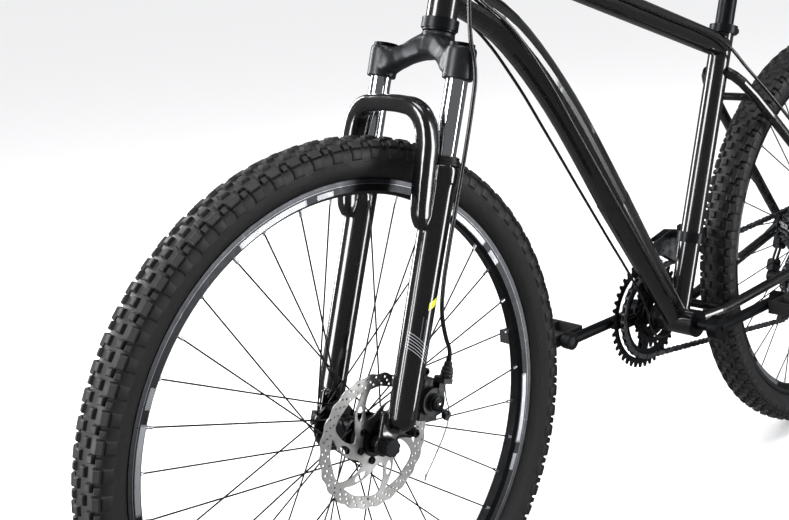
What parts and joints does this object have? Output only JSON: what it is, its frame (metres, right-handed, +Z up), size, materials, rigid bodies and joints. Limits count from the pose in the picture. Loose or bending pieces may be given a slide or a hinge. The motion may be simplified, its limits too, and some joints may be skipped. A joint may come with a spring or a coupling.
{
  "type": "mountain bike",
  "caption": "Hardtail mountain bike with a coil-sprung suspension fork, knobby tyres, cable disc brakes, derailleur gears, flat handlebar, padded saddle and platform pedals.",
  "frame": {"origin": "on the ground, midway between the two wheel axles, in the bike's middle plane", "axes": "+X forward, +Y to the rider's left, +Z up; wheel and crank axles run along Y"},
  "size_m": [1.78, 0.6914, 1.0217],
  "materials": {
    "frame_paint": "gloss",
    "fork_paint": "gloss",
    "crown_paint": "satin",
    "stanchion_chrome": "polished",
    "black_alloy": "satin anodised",
    "tread_rubber": "matt",
    "grip_rubber": "matt",
    "rim_alloy": "anodised with a bright brake-band edge",
    "spoke_steel": "black coated",
    "rotor_steel": "brushed",
    "caliper_black": "satin",
    "cable_housing": "gloss",
    "cable_steel": "bright",
    "cog_steel": "satin",
    "chain_steel": "oiled",
    "black_steel": "satin",
    "pod_plastic": "matt",
    "saddle_cover": "soft, stitched",
    "spring_steel": "bright",
    "tube_rubber": "matt",
    "pedal_plastic": "matt"
  },
  "bodies": {
    "frame": {"main_frame": "frame_paint", "rear_triangle": "frame_paint", "headset": "black_steel", "bottom_bracket": "black_steel", "seat_clamp": "black_alloy", "rear_axle": "black_steel", "rear_caliper": "caliper_black", "front_derailleur": "black_steel", "rear_derailleur": "black_steel", "frame_cables": "cable_housing", "chain": "chain_steel"},
    "seat": {"seatpost": "black_alloy", "saddle_rails": "black_steel", "saddle": "saddle_cover"},
    "steering": {"fork_crown": "crown_paint", "stanchions": "stanchion_chrome", "headset_spacers": "black_alloy", "stem": "black_alloy", "handlebar": "black_alloy", "grips": "grip_rubber", "control_pods": "pod_plastic", "fork_springs": "spring_steel", "front_brake_housing": "cable_housing"},
    "left_brake_lever": {"brake_lever_left": "black_alloy"},
    "right_brake_lever": {"brake_lever_right": "black_alloy"},
    "left_shift_lever": {"shift_lever_left": "pod_plastic"},
    "right_shift_lever": {"shift_lever_right": "pod_plastic"},
    "lowers": {"fork_lowers": "fork_paint", "dust_seals": "grip_rubber", "front_axle": "black_steel", "front_caliper": "caliper_black", "front_brake_wire": "cable_steel"},
    "front_release": {"front_qr_lever": "black_alloy"},
    "rear_release": {"rear_qr_lever": "black_alloy"},
    "front_arm": {"front_caliper_arm": "caliper_black"},
    "rear_arm": {"rear_caliper_arm": "caliper_black"},
    "front_wheel": {"front_tyre": "tread_rubber", "front_inner_tube": "tube_rubber", "front_rim": "rim_alloy", "front_spokes": "spoke_steel", "front_hub": "black_alloy", "front_rotor": "rotor_steel"},
    "rear_wheel": {"rear_tyre": "tread_rubber", "rear_inner_tube": "tube_rubber", "rear_rim": "rim_alloy", "rear_spokes": "spoke_steel", "rear_hub": "black_alloy", "rear_rotor": "rotor_steel"},
    "freewheel": {"freewheel": "cog_steel"},
    "crankset": {"chainrings": "black_steel", "crank_right": "black_alloy", "crank_left": "black_alloy"},
    "right_pedal": {"pedal_right": "pedal_plastic"},
    "left_pedal": {"pedal_left": "pedal_plastic"},
    "front_cage": {"derailleur_cage_front": "black_steel"},
    "rear_link": {"derailleur_link": "black_steel"},
    "rear_knuckle": {"derailleur_knuckle": "black_steel"},
    "rear_cage": {"derailleur_cage": "black_steel"},
    "upper_pulley": {"guide_pulley": "pod_plastic"},
    "lower_pulley": {"tension_pulley": "pod_plastic"}
  },
  "joints": [
    {"name": "seat_height", "type": "slide", "parent": "frame", "child": "seat", "axis": [-0.2924, 0, 0.9563], "range_m": [-0.12, 0.03]},
    {"name": "steer", "type": "hinge", "parent": "frame", "child": "steering", "pos_m": [0.35363, 0, 0.80822], "axis": [-0.3173, 0, 0.9483], "range_deg": [-60, 60], "deforming": ["frame_cables"]},
    {"name": "fork_travel", "type": "slide", "parent": "steering", "child": "lowers", "axis": [-0.3173, 0, 0.9483], "range_m": [0, 0.075], "stiffness_N_per_m": 9000, "springref_m": -0.01, "deforming": ["fork_springs", "front_brake_housing"]},
    {"name": "front_wheel_spin", "type": "hinge", "parent": "lowers", "child": "front_wheel", "pos_m": [0.545, 0, 0.345], "axis": [0, 1, 0], "continuous": true},
    {"name": "rear_wheel_spin", "type": "hinge", "parent": "frame", "child": "rear_wheel", "pos_m": [-0.545, 0, 0.345], "axis": [0, 1, 0], "continuous": true},
    {"name": "crank_spin", "type": "hinge", "parent": "frame", "child": "crankset", "pos_m": [-0.10731, 0, 0.3], "axis": [0, 1, 0], "continuous": true, "deforming": ["chain"]},
    {"name": "freewheel_spin", "type": "hinge", "parent": "frame", "child": "freewheel", "pos_m": [-0.545, 0, 0.345], "axis": [0, 1, 0], "continuous": true, "deforming": ["chain"]},
    {"name": "right_pedal_spin", "type": "hinge", "parent": "crankset", "child": "right_pedal", "pos_m": [0.06269, -0.11, 0.3], "axis": [0, 1, 0], "continuous": true},
    {"name": "left_pedal_spin", "type": "hinge", "parent": "crankset", "child": "left_pedal", "pos_m": [-0.27731, 0.11, 0.3], "axis": [0, 1, 0], "continuous": true},
    {"name": "left_brake", "type": "hinge", "parent": "steering", "child": "left_brake_lever", "pos_m": [0.39937, 0.20586, 0.98893], "axis": [0.3628, 0.0705, 0.9292], "range_deg": [0, 15], "stiffness_Nm_per_rad": 0.6, "springref_deg": -11.46},
    {"name": "right_brake", "type": "hinge", "parent": "steering", "child": "right_brake_lever", "pos_m": [0.39937, -0.20586, 0.98893], "axis": [-0.3628, 0.0705, -0.9292], "range_deg": [0, 15], "stiffness_Nm_per_rad": 0.6, "springref_deg": -11.46},
    {"name": "left_shift", "type": "hinge", "parent": "steering", "child": "left_shift_lever", "pos_m": [0.37684, 0.16853, 0.96719], "axis": [-0.3628, -0.0705, -0.9292], "range_deg": [0, 22], "stiffness_Nm_per_rad": 0.3, "springref_deg": -17.19},
    {"name": "right_shift", "type": "hinge", "parent": "steering", "child": "right_shift_lever", "pos_m": [0.37684, -0.16853, 0.96719], "axis": [0.3628, -0.0705, 0.9292], "range_deg": [0, 22], "stiffness_Nm_per_rad": 0.3, "springref_deg": -17.19},
    {"name": "front_brake_arm", "type": "hinge", "parent": "lowers", "child": "front_arm", "pos_m": [0.47539, 0.07, 0.37654], "axis": [0, 1, 0], "range_deg": [0, 24], "stiffness_Nm_per_rad": 0.6, "springref_deg": -11.46, "deforming": ["front_brake_wire", "front_brake_housing"]},
    {"name": "rear_brake_arm", "type": "hinge", "parent": "frame", "child": "rear_arm", "pos_m": [-0.53452, 0.083, 0.4207], "axis": [0, 1, 0], "range_deg": [0, 24], "stiffness_Nm_per_rad": 0.6, "springref_deg": -11.46, "deforming": ["frame_cables"]},
    {"name": "front_quick_release", "type": "hinge", "parent": "lowers", "child": "front_release", "pos_m": [0.545, -0.0719, 0.345], "axis": [-0.3173, 0, 0.9483], "range_deg": [0, 160]},
    {"name": "rear_quick_release", "type": "hinge", "parent": "frame", "child": "rear_release", "pos_m": [-0.545, 0.0893, 0.345], "axis": [0.342, 0, -0.9397], "range_deg": [0, 160]},
    {"name": "front_shift", "type": "slide", "parent": "frame", "child": "front_cage", "axis": [0, 1, 0], "range_m": [-0.008, 0.008], "deforming": ["chain", "frame_cables"]},
    {"name": "rear_shift", "type": "hinge", "parent": "frame", "child": "rear_link", "pos_m": [-0.552, -0.081, 0.303], "axis": [0.9573, 0, 0.289], "range_deg": [-17, 38], "deforming": ["chain", "frame_cables"]},
    {"name": "rear_shift_knuckle", "type": "hinge", "parent": "rear_link", "child": "rear_knuckle", "pos_m": [-0.54304, -0.086, 0.27332], "axis": [0.9573, 0, 0.289], "range_deg": [-38, 17], "deforming": ["chain"]},
    {"name": "cage_swing", "type": "hinge", "parent": "rear_knuckle", "child": "rear_cage", "pos_m": [-0.529, -0.06, 0.251], "axis": [0, 1, 0], "range_deg": [-22, 25], "stiffness_Nm_per_rad": 0.8, "deforming": ["chain"]},
    {"name": "guide_pulley_spin", "type": "hinge", "parent": "rear_cage", "child": "upper_pulley", "pos_m": [-0.529, -0.05, 0.251], "axis": [0, 1, 0], "continuous": true, "deforming": ["chain"]},
    {"name": "tension_pulley_spin", "type": "hinge", "parent": "rear_cage", "child": "lower_pulley", "pos_m": [-0.514, -0.05, 0.197], "axis": [0, 1, 0], "continuous": true, "deforming": ["chain"]}
  ],
  "couplings": [
    {"joint": "freewheel_spin", "follows": "crank_spin", "ratio": 1.8889},
    {"joint": "guide_pulley_spin", "follows": "crank_spin", "ratio": -3.0909},
    {"joint": "tension_pulley_spin", "follows": "crank_spin", "ratio": 3.0909},
    {"joint": "front_brake_arm", "follows": "left_brake", "ratio": 1.6},
    {"joint": "rear_brake_arm", "follows": "right_brake", "ratio": 1.6},
    {"joint": "rear_shift_knuckle", "follows": "rear_shift", "ratio": -1}
  ]
}
